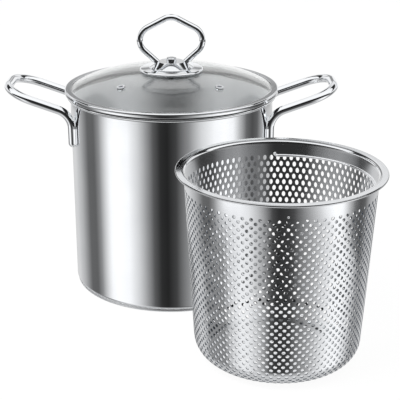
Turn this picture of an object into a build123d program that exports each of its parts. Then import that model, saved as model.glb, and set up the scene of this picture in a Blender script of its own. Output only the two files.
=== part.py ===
from build123d import *
import math
import os

# Deep pot with a domed glass lid and a perforated lift-out basket, in millimetres.
# The origin is the centre of the pot's underside, +Z is up and the side handles lie along X.
# The basket stands free beside the pot, with its fold-down bail laid inside its mouth.

# Pot shell
pot_r = 100.0
pot_sheet = 0.8
pot_rim_z = 195.0
pot_lip_out = 3.4
pot_bead_r = 1.75
pot_corner_r = 2.4

# Capsule base
base_cap_sheet = 0.6
base_core_t = 2.8
base_inset = 1.0
base_corner_r = 1.5

# Side handles
handle_rod_r = 4.25
handle_half = 36.0
handle_out = 59.0
handle_tip_rise = 8.3
handle_corner_drop = 14.4
handle_foot_drop = 43.0
handle_bend_r = 20.0
handle_loop_r = 27.0
weld_sink = 2.0

# Glass lid
lid_seat_gap = 0.3
glass_t = 4.0
glass_flat_w = 5.4
crown_r = 52.0
crown_drop = 2.5
dome_rise = 16.3
glass_hole_r = 4.0
glass_edge_round = 1.3

# Lid rim band
band_sheet = 0.6
band_gap = 0.3
band_overhang = 1.9
band_lip_w = 5.5
band_corner_r = 1.2
locating_fit = 1.2
locating_depth = 6.0

# Vent grommets
vent_out = 16.0
vent_angle = 47.0
vent_bore_r = 1.9
vent_tube_r = 2.6
vent_flange_r = 4.2
vent_flange_t = 0.8
vent_fit = 0.15
vent_proud = 0.1

# Knob fixing screw
screw_r = 2.5
screw_head_r = 5.0
screw_head_h = 3.5
screw_head_round = 1.8
screw_slot_w = 1.2
screw_slot_depth = 1.3
screw_tip = 1.5
screw_fit = 0.25
thread_fit = 0.05
nut_flats = 8.0
nut_h = 4.0
washer_r = 9.0
washer_t = 1.2

# Knob gaskets
gasket_r = 14.0
gasket_t = 2.2
under_gasket_r = 11.0
under_gasket_t = 2.0

# Knob skirt and cap
skirt_r = 31.1
skirt_sheet = 0.8
skirt_fall = 0.7
skirt_turn_down = 2.4
skirt_round = 1.2
cap_base_r = 22.0
cap_top_r = 12.5
cap_h = 6.0
cap_sheet = 0.8
cap_round = 2.0

# Knob wire loop and the strip that carries it
loop_wire_r = 3.0
loop_side = 40.8
loop_foot = 14.0
loop_foot_drop = 1.0
loop_side_rise = 24.5
loop_top_rise = 45.7
loop_side_bend_r = 14.0
loop_top_bend_r = 14.0
loop_hole_fit = 0.2
plate_t = 2.0
plate_half_length = 15.5
plate_half_width = 6.0
plate_corner_r = 3.0

# Basket, sized to hang clear inside the pot
basket_room = 9.0
basket_headroom = 18.1
basket_flange_w = 7.2
basket_taper = 10.0
basket_sheet = 0.8
basket_corner_r = 20.0
basket_mouth_round = 3.0
basket_collar = 1.6
basket_bead_r = 1.1

# Where the basket stands: its bearing from the pot and the gap between the two
basket_bearing = -61.0
basket_stand_gap = 9.9

# Round openings in the basket's wall, a plain grid in place of the finer punched holes
opening_r = 6.2
opening_pitch = 20.0
opening_row = 17.0
opening_margin = 3.0

# Drain holes in the basket's floor
drain_r = 1.65
drain_pitch = 5.4
drain_margin = 3.0

# Basket bail
bail_wire_r = 1.2
bail_clear = 0.85
bail_set = 4.5
bail_hook_r = 3.5
bail_drop = 12.7
bail_fit = 0.08
bail_tip_proud = 0.5

# Overrun that lets a cutter pass its faces
overrun = 5.0

# Heights and radii that follow from the sizes above
floor_z = base_cap_sheet + base_core_t
pot_lip_r = pot_r + pot_lip_out
base_r = pot_r - base_inset
handle_reach = pot_r + handle_out
handle_tip_z = pot_rim_z + handle_tip_rise
handle_corner_z = pot_rim_z - handle_corner_drop
handle_foot_z = pot_rim_z - handle_foot_drop
glass_edge_r = pot_lip_r + band_overhang - band_sheet - band_gap
glass_flat_r = glass_edge_r - glass_flat_w
band_lip_r = glass_edge_r - band_lip_w
locating_r = pot_r - pot_sheet - locating_fit
vent_ring_r = crown_r + vent_out
band_z = pot_rim_z + lid_seat_gap
glass_z = band_z + band_sheet
flange_top_z = glass_z + glass_t
crown_z = flange_top_z + dome_rise
crown_radius = (crown_r ** 2 + crown_drop ** 2) / (2 * crown_drop)
skirt_z = crown_z + gasket_t
skirt_top_z = skirt_z + skirt_sheet
plate_top_z = skirt_top_z + plate_t
cap_top_z = skirt_top_z + cap_h
loop_foot_z = cap_top_z - loop_foot_drop
under_glass_z = crown_z - glass_t
washer_top_z = under_glass_z - under_gasket_t
nut_top_z = washer_top_z - washer_t
screw_end_z = nut_top_z - nut_h - screw_tip
basket_h = pot_rim_z - floor_z - pot_sheet - basket_headroom
basket_flange_r = pot_r - pot_sheet - basket_room
basket_top_r = basket_flange_r - basket_flange_w
basket_base_r = basket_top_r - basket_taper
basket_lean = math.atan2(basket_taper, basket_h)
basket_joint_z = basket_h - basket_mouth_round - basket_collar
basket_floor_r = basket_base_r - basket_corner_r
basket_reach = pot_r + basket_stand_gap + basket_flange_r
basket_x = basket_reach * math.cos(math.radians(basket_bearing))
basket_y = basket_reach * math.sin(math.radians(basket_bearing))
drain_field_r = basket_floor_r - drain_margin
bail_z = basket_h - bail_drop
bail_bore_r = bail_wire_r + bail_fit
opening_low_z = basket_corner_r + opening_margin + opening_r
opening_high_z = bail_z - bail_bore_r - opening_margin - opening_r


def turned(profile):
    """Solid of revolution about Z from a face drawn in radius and height."""
    return revolve(Plane.XZ * profile, Axis.Z)


def sheet(*points, t, radius):
    """Face of a bent sheet of thickness t whose middle line runs through the points."""
    return trace(FilletPolyline(*points, radius=radius), line_width=t)


def tube_face(r_in, r_out, z_low, z_high):
    """Rectangular face between two radii and two heights."""
    return Polyline((r_in, z_low), (r_out, z_low), (r_out, z_high), (r_in, z_high), close=True)


def ring(r_in, r_out, z_low, z_high):
    """Plain flat ring or tube about Z."""
    return turned(make_face(tube_face(r_in, r_out, z_low, z_high)))


def rod(path, r):
    """Round wire of radius r along a path."""
    return sweep(Plane(origin=path @ 0, z_dir=path % 0) * Circle(r), path=path)


def pot_shell():
    """Drawn pot: floor, straight wall, and a rim turned out into a rolled bead."""
    mid_r = pot_r - pot_sheet / 2
    low_z = floor_z + pot_sheet / 2
    lip_z = pot_rim_z - pot_sheet / 2
    bead_mid_r = pot_lip_r - pot_bead_r
    bend = pot_corner_r - pot_sheet / 2
    lip_bend = pot_sheet
    walls = sheet((0, low_z), (mid_r, low_z), (mid_r, lip_z), (bead_mid_r, lip_z), t=pot_sheet,
                  radius=[bend, lip_bend])
    bead = Pos(bead_mid_r, pot_rim_z - pot_bead_r) * Circle(pot_bead_r)
    return turned(walls + bead)


def base_core():
    """Aluminium disc sandwiched under the pot's floor."""
    core_r = base_r - base_cap_sheet
    disc = ring(0, core_r, base_cap_sheet, floor_z)
    low_rim = disc.edges().filter_by(GeomType.CIRCLE).sort_by(Axis.Z)[0]
    return fillet(low_rim, base_corner_r - base_cap_sheet)


def base_cap():
    """Steel capsule that wraps the aluminium disc; its flat face is what the pot stands on."""
    half = base_cap_sheet / 2
    return turned(sheet((0, half), (base_r - half, half), (base_r - half, floor_z), t=base_cap_sheet,
                        radius=[base_corner_r - half]))


def side_handle(side):
    """Bent rod loop, both legs laid on the wall and welded there; side is -1 left, 1 right."""
    leg_r = pot_r + handle_rod_r - weld_sink
    leg_x = side * math.sqrt(leg_r ** 2 - handle_half ** 2)
    tip_x = side * handle_reach
    path = FilletPolyline(
        (leg_x, -handle_half, handle_foot_z),
        (leg_x, -handle_half, handle_corner_z),
        (tip_x, -handle_half, handle_tip_z),
        (tip_x, handle_half, handle_tip_z),
        (leg_x, handle_half, handle_corner_z),
        (leg_x, handle_half, handle_foot_z),
        radius=[handle_bend_r, handle_loop_r, handle_loop_r, handle_bend_r],
    )
    loop = rod(path, handle_rod_r)
    for y in (-handle_half, handle_half):
        loop += Pos(leg_x, y, handle_foot_z) * Sphere(handle_rod_r)
    return loop - ring(0, pot_r, 0, pot_rim_z)


def crown_fall(r):
    """How far the crown's face lies below its top at a radius from the axis."""
    return crown_radius - math.sqrt(crown_radius ** 2 - r ** 2)


def glass_curve(drop):
    """Half section line of the dome's face, lowered by drop: edge flat, shoulder arc, crown arc."""
    slope = math.asin(crown_r / crown_radius)
    top = (0, crown_z - drop)
    crown_edge = (crown_r, crown_z - crown_drop - drop)
    shoulder_foot = (glass_flat_r, flange_top_z - drop)
    crown = TangentArc(top, crown_edge, tangent=(1, 0))
    shoulder = TangentArc(crown_edge, shoulder_foot, tangent=(math.cos(slope), -math.sin(slope)))
    edge = Line(shoulder_foot, (glass_edge_r, flange_top_z - drop))
    return crown + shoulder + edge


def shoulder_arc():
    """Radius and centre (radius, height) of the glass shoulder's upper arc."""
    slope = math.asin(crown_r / crown_radius)
    run = glass_flat_r - crown_r
    fall = dome_rise - crown_drop
    chord = math.hypot(run, fall)
    r = chord / (2 * math.sin(math.atan2(fall, run) - slope))
    return r, crown_r - r * math.sin(slope), crown_z - crown_drop - r * math.cos(slope)


def vent_place(side):
    """Location on the dome's outer face of a vent, with its Z along the glass normal."""
    r, mid_r, mid_z = shoulder_arc()
    slope = math.asin((vent_ring_r - mid_r) / r)
    angle = math.radians(180 + vent_angle) if side < 0 else math.radians(-vent_angle)
    spot = (vent_ring_r * math.cos(angle), vent_ring_r * math.sin(angle), mid_z + r * math.cos(slope))
    normal = (math.sin(slope) * math.cos(angle), math.sin(slope) * math.sin(angle), math.cos(slope))
    return Plane(origin=spot, z_dir=normal)


def lid_glass():
    """Domed tempered glass with a centre hole and two vent holes."""
    outline = glass_curve(0) + glass_curve(glass_t)
    outline += Line((0, crown_z), (0, under_glass_z))
    outline += Line((glass_edge_r, flange_top_z), (glass_edge_r, glass_z))
    section = make_face(outline.edges())
    rim_corners = [v for v in section.vertices() if v.X > glass_flat_r + glass_edge_round]
    dome = turned(fillet(rim_corners, glass_edge_round))
    dome -= ring(0, glass_hole_r, under_glass_z - overrun, crown_z + overrun)
    drill = Cylinder(vent_tube_r + vent_fit, 2 * (glass_t + overrun))
    for side in (-1, 1):
        dome -= vent_place(side) * drill
    return dome


def lid_rim():
    """Steel band rolled round the glass edge, with the skirt that centres it in the pot's mouth."""
    half = band_sheet / 2
    outer_r = glass_edge_r + band_gap + half
    skirt_mid = locating_r - half
    return turned(sheet(
        (skirt_mid, band_z - locating_depth),
        (skirt_mid, band_z + half),
        (outer_r, band_z + half),
        (outer_r, flange_top_z + half),
        (band_lip_r, flange_top_z + half),
        t=band_sheet,
        radius=[band_sheet, band_corner_r, band_corner_r],
    ))


def vent_grommet(side):
    """Steel eyelet: a tube through the glass with a flange on each face."""
    depth = glass_t + 2 * vent_proud
    tube = ring(vent_bore_r, vent_tube_r, vent_proud - depth, vent_proud)
    upper = ring(vent_bore_r, vent_flange_r, vent_proud, vent_proud + vent_flange_t)
    lower = ring(vent_bore_r, vent_flange_r, vent_proud - depth - vent_flange_t, vent_proud - depth)
    eyelet = tube + upper + lower
    rims = eyelet.edges().filter_by(GeomType.CIRCLE).sort_by(Axis.Z)
    outer = [e for e in (rims[0], rims[1], rims[-1], rims[-2]) if e.radius > vent_tube_r]
    return vent_place(side) * fillet(outer, vent_flange_t / 2)


def loop_path(extra):
    """Middle line of the knob's wire: a kite with rounded corners, its feet run on by extra."""
    lean = math.atan2(loop_side_rise, loop_side - loop_foot)
    foot_x = loop_foot - (loop_foot_z - plate_top_z + extra) / math.tan(lean)
    foot_z = plate_top_z - extra
    return FilletPolyline(
        (-foot_x, 0, foot_z),
        (-loop_side, 0, loop_foot_z + loop_side_rise),
        (0, 0, loop_foot_z + loop_top_rise),
        (loop_side, 0, loop_foot_z + loop_side_rise),
        (foot_x, 0, foot_z),
        radius=[loop_side_bend_r, loop_top_bend_r, loop_side_bend_r],
    )


def knob_loop():
    """Wire loop that is gripped, its two feet cut flat on the strip."""
    wire = rod(loop_path(loop_wire_r), loop_wire_r)
    return split(wire, bisect_by=Plane.XY.offset(plate_top_z), keep=Keep.TOP)


def knob_plate():
    """Strip under the cap that carries the wire's feet and the screw."""
    face = RectangleRounded(2 * plate_half_length, 2 * plate_half_width, plate_corner_r)
    face -= Circle(screw_r + screw_fit)
    return Pos(0, 0, skirt_top_z) * extrude(face, plate_t)


def knob_cap():
    """Spun cap over the strip, with a hole in its flank for each foot of the wire."""
    half = cap_sheet / 2
    cap = turned(sheet(
        (screw_r + screw_fit, cap_top_z - half),
        (cap_top_r, cap_top_z - half),
        (cap_base_r, skirt_top_z),
        t=cap_sheet,
        radius=[cap_round],
    ))
    cap = split(cap, bisect_by=Plane.XY.offset(skirt_top_z), keep=Keep.TOP)
    return cap - rod(loop_path(0), loop_wire_r + loop_hole_fit)


def knob_skirt():
    """Wide shallow disc under the cap, its edge turned down over the glass."""
    half = skirt_sheet / 2
    edge_r = skirt_r - half
    return turned(sheet(
        (screw_r + screw_fit, skirt_z + half),
        (cap_base_r, skirt_z + half),
        (edge_r, skirt_z + half - skirt_fall),
        (edge_r, skirt_z + half - skirt_turn_down),
        t=skirt_sheet,
        radius=[cap_base_r, skirt_round],
    ))


def knob_gasket():
    """Silicone disc between skirt and glass."""
    return ring(screw_r + screw_fit, gasket_r, crown_z, skirt_z)


def under_gasket():
    """Silicone disc under the glass."""
    return ring(screw_r + screw_fit, under_gasket_r, washer_top_z, under_glass_z - crown_fall(under_gasket_r))


def knob_washer():
    """Steel washer under the lower silicone disc."""
    return ring(screw_r + screw_fit, washer_r, nut_top_z, washer_top_z)


def knob_screw():
    """Round-head screw that clamps the knob through the glass."""
    head = ring(0, screw_head_r, cap_top_z, cap_top_z + screw_head_h)
    crown = head.edges().filter_by(GeomType.CIRCLE).sort_by(Axis.Z)[-1]
    head = fillet(crown, screw_head_round)
    slot = Pos(0, 0, cap_top_z + screw_head_h) * Box(3 * screw_head_r, screw_slot_w, 2 * screw_slot_depth)
    return head - slot + ring(0, screw_r, screw_end_z, cap_top_z)


def knob_nut():
    """Hexagon nut on the screw's end, inside the lid."""
    face = RegularPolygon(nut_flats / 2, 6, major_radius=False) - Circle(screw_r + thread_fit)
    return Pos(0, 0, nut_top_z - nut_h) * extrude(face, nut_h)


def basket_wall_r(z):
    """Outer radius of the basket's wall at a height."""
    return basket_base_r + basket_taper * z / basket_h


def basket_shell():
    """Whole bent sheet of the basket about its own axis: foot, tapered wall, flared mouth and flange."""
    half = basket_sheet / 2
    inset = half / math.cos(basket_lean)
    lip_z = basket_h - half
    foot = (basket_wall_r(half) - inset, half)
    mouth = (basket_wall_r(lip_z) - inset, lip_z)
    bead_mid_r = basket_flange_r - basket_bead_r
    section = sheet((0, half), foot, mouth, (bead_mid_r, lip_z), t=basket_sheet,
                    radius=[basket_corner_r - half, basket_mouth_round - half])
    bead = Pos(bead_mid_r, basket_h - basket_bead_r) * Circle(basket_bead_r)
    return turned(section + bead)


def at_basket(piece):
    """Move a piece made about the basket's own axis to where the basket stands."""
    return Pos(basket_x, basket_y, 0) * piece


def basket_rim():
    """Flared mouth and flange with a rolled edge, down to the joint with the wall."""
    return at_basket(split(basket_shell(), bisect_by=Plane.XY.offset(basket_joint_z), keep=Keep.TOP))


def opening_places():
    """Angle and height of each opening in the wall: level rows, every other one half a step round."""
    columns = int(math.pi * (basket_top_r + basket_base_r) / opening_pitch)
    gaps = int((opening_high_z - opening_low_z) / opening_row)
    row_step = (opening_high_z - opening_low_z) / gaps
    turn = 360 / columns
    places = []
    for row in range(gaps + 1):
        for column in range(columns):
            places.append(((column + (row % 2) / 2) * turn, opening_low_z + row * row_step))
    return places


def basket_wall():
    """Tapered wall with its grid of openings, turned in round the foot, and the bail's two bores."""
    wall = split(basket_shell(), bisect_by=Plane.XY.offset(basket_joint_z), keep=Keep.BOTTOM)
    wall -= Cylinder(basket_floor_r, 2 * (basket_sheet + overrun))
    reach = (basket_top_r + basket_base_r) / 2
    punch = Rot(0, 90, 0) * Cylinder(opening_r, 2 * (basket_taper + overrun))
    wall -= [Rot(0, 0, angle) * Pos(reach, 0, z) * punch for angle, z in opening_places()]
    bore = Rot(90, 0, 0) * Cylinder(bail_bore_r, 2 * (basket_top_r + overrun))
    return at_basket(wall - Pos(0, 0, bail_z) * bore)


def drain_places():
    """Centres of the drain holes: a triangular field about the axis, kept inside its radius."""
    row_step = drain_pitch * math.sqrt(3) / 2
    rows = int(drain_field_r / row_step)
    columns = int(drain_field_r / drain_pitch) + 1
    places = []
    for row in range(-rows, rows + 1):
        for column in range(-columns, columns + 1):
            x = (column + (row % 2) / 2) * drain_pitch
            y = row * row_step
            if math.hypot(x, y) <= drain_field_r:
                places.append((x, y))
    return places


def basket_floor():
    """Flat disc welded into the foot of the wall and drilled with drain holes."""
    face = Circle(basket_floor_r) - [Pos(x, y) * Circle(drain_r) for x, y in drain_places()]
    return at_basket(extrude(face, basket_sheet))


def basket_bail():
    """Wire bail laid flat inside the mouth, its ends bent out through the wall."""
    wall_r = basket_wall_r(bail_z)
    bail_half = wall_r - basket_sheet - bail_clear - bail_wire_r - bail_set
    end_y = wall_r + bail_tip_proud
    arc = CenterArc((bail_set, 0), bail_half, 90, -180)
    near = FilletPolyline((bail_set, -bail_half), (0, -bail_half), (0, -end_y), radius=bail_hook_r)
    far = FilletPolyline((0, end_y), (0, bail_half), (bail_set, bail_half), radius=bail_hook_r)
    wire = rod(Wire(far.edges() + arc.edges() + near.edges()), bail_wire_r)
    return at_basket(Pos(0, 0, bail_z) * wire)


pieces = {
    "pot_shell": pot_shell(),
    "base_core": base_core(),
    "base_cap": base_cap(),
    "handle_left": side_handle(-1),
    "handle_right": side_handle(1),
    "lid_glass": lid_glass(),
    "lid_rim": lid_rim(),
    "vent_grommet_left": vent_grommet(-1),
    "vent_grommet_right": vent_grommet(1),
    "knob_loop": knob_loop(),
    "knob_plate": knob_plate(),
    "knob_cap": knob_cap(),
    "knob_skirt": knob_skirt(),
    "knob_gasket": knob_gasket(),
    "under_gasket": under_gasket(),
    "knob_washer": knob_washer(),
    "knob_screw": knob_screw(),
    "knob_nut": knob_nut(),
    "basket_rim": basket_rim(),
    "basket_wall": basket_wall(),
    "basket_floor": basket_floor(),
    "basket_bail": basket_bail(),
}

os.makedirs("parts", exist_ok=True)
for name, piece in pieces.items():
    export_step(piece, f"parts/{name}.step")
    box = piece.bounding_box()
    size = f"volume {piece.volume:10.1f}  z {box.min.Z:7.2f} {box.max.Z:7.2f}"
    print(f"{name:20s} solids {len(piece.solids())}  {size}")
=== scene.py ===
import math

import bpy
import bmesh
from mathutils import Matrix, Vector
from mathutils.geometry import delaunay_2d_cdt


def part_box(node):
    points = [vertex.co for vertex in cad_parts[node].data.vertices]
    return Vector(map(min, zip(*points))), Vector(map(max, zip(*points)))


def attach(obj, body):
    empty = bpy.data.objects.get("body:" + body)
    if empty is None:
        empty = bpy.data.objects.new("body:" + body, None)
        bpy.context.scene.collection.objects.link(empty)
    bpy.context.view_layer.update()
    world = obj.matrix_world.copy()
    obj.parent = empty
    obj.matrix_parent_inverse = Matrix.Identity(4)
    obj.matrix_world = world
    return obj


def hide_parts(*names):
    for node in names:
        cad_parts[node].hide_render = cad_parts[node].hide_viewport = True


# Deep polished pot with a domed glass lid and a punched lift-out basket.
# Metres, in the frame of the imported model: +Z up, the side handles along X.

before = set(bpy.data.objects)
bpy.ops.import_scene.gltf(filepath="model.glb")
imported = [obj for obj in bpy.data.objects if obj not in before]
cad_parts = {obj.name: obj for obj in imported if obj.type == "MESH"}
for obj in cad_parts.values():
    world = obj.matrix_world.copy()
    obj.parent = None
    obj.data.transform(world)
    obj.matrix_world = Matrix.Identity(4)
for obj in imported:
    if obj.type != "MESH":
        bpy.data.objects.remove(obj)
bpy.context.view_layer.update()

mm = 0.001
deg = math.pi / 180

# Meshing: how close to its ends a long run is held and how many times that makes it long, the
# radius that counts as the axis, the gap that merges points, and a hole's part that stays open
hold_edge = 0.4 * mm
hold_times = 6
axis_r = 1e-7
merge_gap = 1e-9
hole_share = 0.98

# Pot shell
pot_low, pot_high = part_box("pot_shell")
pot_lip_r = pot_high.x
pot_rim_z = pot_high.z
floor_z = pot_low.z
pot_sheet = 0.8 * mm
pot_lip_out = 3.4 * mm
pot_bead_r = 1.75 * mm
pot_corner_r = 2.4 * mm
pot_lip_share = 1.5
pot_r = pot_lip_r - pot_lip_out

# Capsule base
base_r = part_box("base_cap")[1].x
base_sheet = 0.6 * mm
base_corner_r = 1.5 * mm

# Side handles
handle_low, handle_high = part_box("handle_right")
handle_rod_r = 4.25 * mm
handle_corner_drop = 14.4 * mm
handle_bend_r = 20.0 * mm
handle_loop_r = 27.0 * mm
weld_sink = 2.0 * mm
weld_bite = 0.15 * mm
handle_half = handle_high.y - handle_rod_r
handle_reach = handle_high.x - handle_rod_r
handle_tip_z = handle_high.z - handle_rod_r
handle_foot_z = handle_low.z + handle_rod_r
handle_corner_z = pot_rim_z - handle_corner_drop

# Glass lid
glass_low, glass_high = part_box("lid_glass")
glass_t = 4.0 * mm
glass_flat_w = 5.4 * mm
crown_r = 52.0 * mm
crown_drop = 2.5 * mm
glass_hole_r = 4.0 * mm
glass_edge_round = 1.3 * mm
glass_edge_r = glass_high.x
glass_z = glass_low.z
crown_z = glass_high.z
flange_top_z = glass_z + glass_t
glass_flat_r = glass_edge_r - glass_flat_w
crown_radius = (crown_r ** 2 + crown_drop ** 2) / (2 * crown_drop)

# Lid rim band
rim_low, rim_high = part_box("lid_rim")
band_sheet = 0.6 * mm
band_lip_w = 5.5 * mm
band_corner_r = 1.2 * mm
locating_fit = 1.2 * mm
locating_r = pot_r - pot_sheet - locating_fit

# Vent grommets
vent_out = 16.0 * mm
vent_ring_r = crown_r + vent_out
vent_angle = 47.0 * deg
vent_bore_r = 1.9 * mm
vent_tube_r = 2.6 * mm
vent_flange_r = 4.2 * mm
vent_flange_t = 0.8 * mm
vent_fit = 0.15 * mm
vent_proud = 0.1 * mm
vent_clear_share = 2.2
vent_ring_share = 1.5

# Knob
skirt_low, skirt_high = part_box("knob_skirt")
cap_low, cap_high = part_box("knob_cap")
gasket_low, gasket_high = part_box("knob_gasket")
screw_low, screw_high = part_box("knob_screw")
screw_r = 2.5 * mm
screw_fit = 0.25 * mm
screw_head_round = 1.8 * mm
screw_slot_w = 1.2 * mm
screw_slot_depth = 1.3 * mm
skirt_sheet = 0.8 * mm
skirt_fall = 0.7 * mm
skirt_turn_down = 2.4 * mm
skirt_round = 1.2 * mm
cap_top_r = 12.5 * mm
cap_sheet = 0.8 * mm
cap_round = 2.0 * mm
skirt_r = skirt_high.x
cap_base_r = cap_high.x
cap_top_z = cap_high.z

# Knob wire loop
loop_wire_r = 3.0 * mm
loop_side = 40.8 * mm
loop_foot = 14.0 * mm
loop_foot_drop = 1.0 * mm
loop_side_rise = 24.5 * mm
loop_top_rise = 45.7 * mm
loop_side_bend_r = 14.0 * mm
loop_top_bend_r = 14.0 * mm
loop_low_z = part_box("knob_loop")[0].z

# Basket
flange_low, flange_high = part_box("basket_rim")
basket_x = (flange_low.x + flange_high.x) / 2
basket_y = (flange_low.y + flange_high.y) / 2
basket_flange_r = (flange_high.x - flange_low.x) / 2
basket_h = flange_high.z
basket_flange_w = 7.2 * mm
basket_taper = 10.0 * mm
basket_sheet = 0.8 * mm
basket_corner_r = 20.0 * mm
basket_mouth_round = 3.0 * mm
basket_collar = 1.6 * mm
basket_bead_r = 1.1 * mm
basket_top_r = basket_flange_r - basket_flange_w
basket_base_r = basket_top_r - basket_taper
basket_lean = math.atan2(basket_taper, basket_h)
basket_floor_r = basket_base_r - basket_corner_r
basket_centre = Matrix.Translation((basket_x, basket_y, 0))

# Punched holes: the front half of the wall has round holes on a 45 degree lattice,
# the back half tall ovals in staggered rows
collar_z = 156.0 * mm
front_pitch = 7.05 * mm
front_row = 3.5 * mm
front_hole = (1.65 * mm, 1.6 * mm)
back_pitch = 5.9 * mm
back_row = 5.8 * mm
back_hole = (1.65 * mm, 2.5 * mm)
front_side_share = 0.12
back_side_share = 0.35
drain_r = 1.65 * mm
drain_pitch = 5.4 * mm
drain_margin = 3.0 * mm
seam_half_w = 1.2 * mm
seam_rise = 0.22 * mm
seam_foot_share = 0.75
seam_shares = (-1.0, -0.6, 0.0, 0.6, 1.0)
seam_rise_shares = (-0.3, 0.75, 1.0, 0.75, -0.3)
seam_ripple_share = 0.12
seam_ripple_turn = 2.1

# Basket bail
bail_low, bail_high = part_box("basket_bail")
bail_wire_r = 1.2 * mm
bail_clear = 0.85 * mm
bail_set = 4.5 * mm
bail_hook_r = 3.5 * mm
bail_tip_proud = 0.5 * mm
bail_z = (bail_low.z + bail_high.z) / 2


def arc(centre_r, centre_z, r, start, end, steps=8):
    """Points of an arc in a section, from one angle to another, in degrees."""
    angles = [(start + (end - start) * i / steps) * deg for i in range(steps + 1)]
    return [(centre_r + r * math.cos(a), centre_z + r * math.sin(a)) for a in angles]


def rounded(points, radii, turn=5.0):
    """Points of a polyline, in two or three dimensions, with an arc at each inner corner."""
    points = [Vector(p) for p in points]
    line = [points[0]]
    for before, corner, after, r in zip(points, points[1:], points[2:], radii):
        a = (before - corner).normalized()
        b = (after - corner).normalized()
        half = a.angle(b) / 2
        reach = r / math.tan(half)
        centre = corner + (a + b).normalized() * (r / math.sin(half))
        start = corner + a * reach - centre
        end = corner + b * reach - centre
        sweep = math.pi - 2 * half
        steps = max(2, math.ceil(sweep / deg / turn))
        for i in range(steps + 1):
            t = i / steps
            weight_a = math.sin((1 - t) * sweep) / math.sin(sweep)
            weight_b = math.sin(t * sweep) / math.sin(sweep)
            line.append(centre + start * weight_a + end * weight_b)
    line.append(points[-1])
    return line


def directions(line):
    """Direction of a line at each of its points."""
    ways = []
    for i, p in enumerate(line):
        ahead = (line[min(i + 1, len(line) - 1)] - p).normalized()
        behind = (p - line[max(i - 1, 0)]).normalized()
        ways.append((ahead + behind).normalized())
    return ways


def sheet_sides(line, t):
    """Points left and right of a middle line, along the faces of a sheet of thickness t."""
    sides = [Vector((-way.y, way.x)) * (t / 2) for way in directions(line)]
    return [p + side for p, side in zip(line, sides)], [p - side for p, side in zip(line, sides)]


def sheet_outline(points, t, radii, open_start=True):
    """Closed outline of a bent sheet of thickness t about the middle line through the points.

    Each free end is rounded; a start on the axis is left square."""
    line = rounded(points, radii)
    left, right = sheet_sides(line, t)
    end_cap = half_round(line[-1], (line[-1] - line[-2]).normalized(), t / 2)
    start_cap = half_round(line[0], (line[0] - line[1]).normalized(), t / 2) if open_start else []
    return [tuple(p) for p in left + end_cap + right[::-1] + start_cap]


def half_round(tip, way, r, steps=6):
    """Points round the tip of a sheet's end, from left to right of its way."""
    side = Vector((-way.y, way.x))
    turns = [math.pi * i / steps for i in range(1, steps)]
    return [tip + (side * math.cos(a) + way * math.sin(a)) * r for a in turns]


def circle(x, y, r, steps):
    """Points in plan round a centre."""
    turns = [2 * math.pi * i / steps for i in range(steps)]
    return [(x + r * math.cos(a), y + r * math.sin(a)) for a in turns]


def hoops(count, sides):
    """Faces between rings of points that follow each other in one list."""
    faces = []
    for i in range(count - 1):
        for k in range(sides):
            m = (k + 1) % sides
            faces.append([i * sides + k, i * sides + m, (i + 1) * sides + m, (i + 1) * sides + k])
    return faces


def held(points):
    """Line with a point close to both ends of each long run, so that its faces shade flat."""
    points = [Vector(p) for p in points]
    line = []
    for a, b in zip(points, points[1:]):
        line.append(a)
        if (b - a).length > hold_times * hold_edge:
            way = (b - a).normalized() * hold_edge
            line += [a + way, b - way]
    return line + points[-1:]


def lathe(outline, steps=256, place=None):
    """Vertices and faces of a closed outline, in radius and height, turned about Z."""
    verts, rings, faces = [], [], []
    for r, z in held(outline + outline[:1])[:-1]:
        if r < axis_r:
            rings.append([len(verts)] * steps)
            verts.append(Vector((0, 0, z)))
            continue
        rings.append(range(len(verts), len(verts) + steps))
        verts += [Vector((x, y, z)) for x, y in circle(0, 0, r, steps)]
    for low, high in zip(rings, rings[1:] + rings[:1]):
        for i in range(steps):
            j = (i + 1) % steps
            face = [low[i], low[j], high[j], high[i]]
            face = [v for k, v in enumerate(face) if v != face[k - 1]]
            if len(face) > 2:
                faces.append(face)
    if place is not None:
        verts = [place @ v for v in verts]
    return verts, faces


def tube(line, r, sides=28, dome=5):
    """Vertices and faces of a round wire along the points of a line, with domed ends."""
    line = held(line)
    ways = directions(line)
    side = ways[0].orthogonal().normalized()
    frames = []
    for i, way in enumerate(ways):
        if i:
            side = ways[i - 1].rotation_difference(way) @ side
        frames.append((side, way.cross(side)))
    turns = [k * math.pi / 2 / dome for k in range(1, dome)]
    ends = [(r * math.sin(a), r * math.cos(a)) for a in turns]
    rings = [(line[0] - ways[0] * out, frames[0], ring_r) for out, ring_r in ends[::-1]]
    rings += [(p, axes, r) for p, axes in zip(line, frames)]
    rings += [(line[-1] + ways[-1] * out, frames[-1], ring_r) for out, ring_r in ends]
    verts = []
    for p, (side, up), ring_r in rings:
        verts += [p + (side * x + up * y) * ring_r for x, y in circle(0, 0, 1, sides)]
    faces = hoops(len(rings), sides)
    first = len(verts)
    verts += [line[0] - ways[0] * r, line[-1] + ways[-1] * r]
    last_ring = (len(rings) - 1) * sides
    for k in range(sides):
        m = (k + 1) % sides
        faces.append([first, m, k])
        faces.append([first + 1, last_ring + k, last_ring + m])
    return verts, faces


def joined(*parts):
    """Several lists of vertices and faces as one."""
    verts, faces = [], []
    for part_verts, part_faces in parts:
        faces += [[v + len(verts) for v in face] for face in part_faces]
        verts += part_verts
    return verts, faces


def plain_mesh(name, verts, faces):
    """Mesh shaded smooth."""
    mesh = bpy.data.meshes.new(name)
    mesh.from_pydata([tuple(v) for v in verts], [], faces)
    mesh.shade_smooth()
    return mesh


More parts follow.
